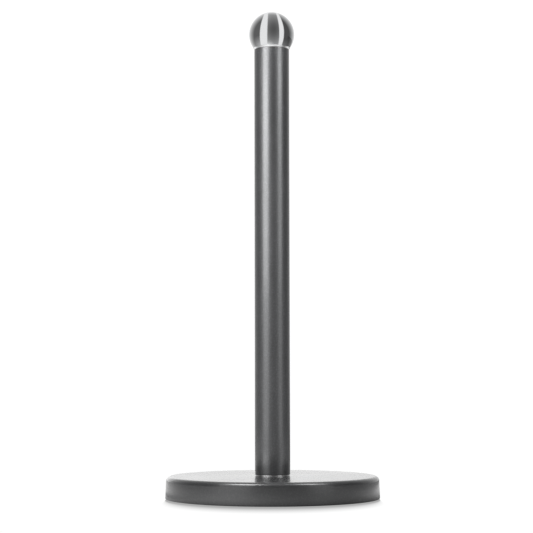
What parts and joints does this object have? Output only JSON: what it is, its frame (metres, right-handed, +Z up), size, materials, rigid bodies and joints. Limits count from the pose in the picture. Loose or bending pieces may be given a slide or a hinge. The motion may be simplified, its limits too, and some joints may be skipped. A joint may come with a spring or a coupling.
{
  "type": "paper towel holder",
  "caption": "Upright countertop paper towel holder: weighted round base, dark powder-coated tube post and polished ball finial, screwed together.",
  "frame": {"origin": "under the middle of the base, on the surface that it stands on", "axes": "+Z up along the post. The object is round about Z, and its front faces -Y"},
  "size_m": [0.154, 0.154, 0.3537],
  "materials": {
    "powder_coat": "dark charcoal metallic powder coat, satin, with a fine speckle",
    "chrome": "mirror-polished chrome plate",
    "cast_iron": "rough cast iron, oiled",
    "zinc_plate": "zinc-plated steel",
    "black_plastic": "moulded black plastic, fine matt grain",
    "rubber": "moulded black rubber, matt"
  },
  "bodies": {
    "base": {"base_cover": "powder_coat", "ballast_disc": "cast_iron", "bottom_plate": "black_plastic", "plate_screw_1": "zinc_plate", "plate_screw_2": "zinc_plate", "plate_screw_3": "zinc_plate", "rubber_foot_1": "rubber", "rubber_foot_2": "rubber", "rubber_foot_3": "rubber", "rubber_foot_4": "rubber", "base_bolt": "zinc_plate", "flat_washer": "zinc_plate", "spring_washer": "zinc_plate"},
    "post_carrier": {"foot_ring": "chrome"},
    "post": {"post_tube": "powder_coat", "foot_plug": "zinc_plate", "top_plug": "zinc_plate"},
    "finial_carrier": {"finial_ring": "chrome"},
    "finial": {"finial_ball": "chrome", "finial_stud": "zinc_plate"}
  },
  "joints": [
    {"name": "post_lift", "type": "slide", "parent": "base", "child": "post_carrier", "axis": [0, 0, 1], "range_m": [0, 0.01376]},
    {"name": "post_turn", "type": "hinge", "parent": "post_carrier", "child": "post", "pos_m": [0, 0, 0.0179], "axis": [0, 0, 1], "range_deg": [0, 3960]},
    {"name": "finial_lift", "type": "slide", "parent": "post", "child": "finial_carrier", "axis": [0, 0, 1], "range_m": [0, 0.01001]},
    {"name": "finial_turn", "type": "hinge", "parent": "finial_carrier", "child": "finial", "pos_m": [0, 0, 0.3275], "axis": [0, 0, 1], "range_deg": [0, 3600]}
  ],
  "couplings": [
    {"joint": "post_lift", "follows": "post_turn", "m_per_rad": 0.00019894},
    {"joint": "finial_lift", "follows": "finial_turn", "m_per_rad": 0.00015915}
  ]
}
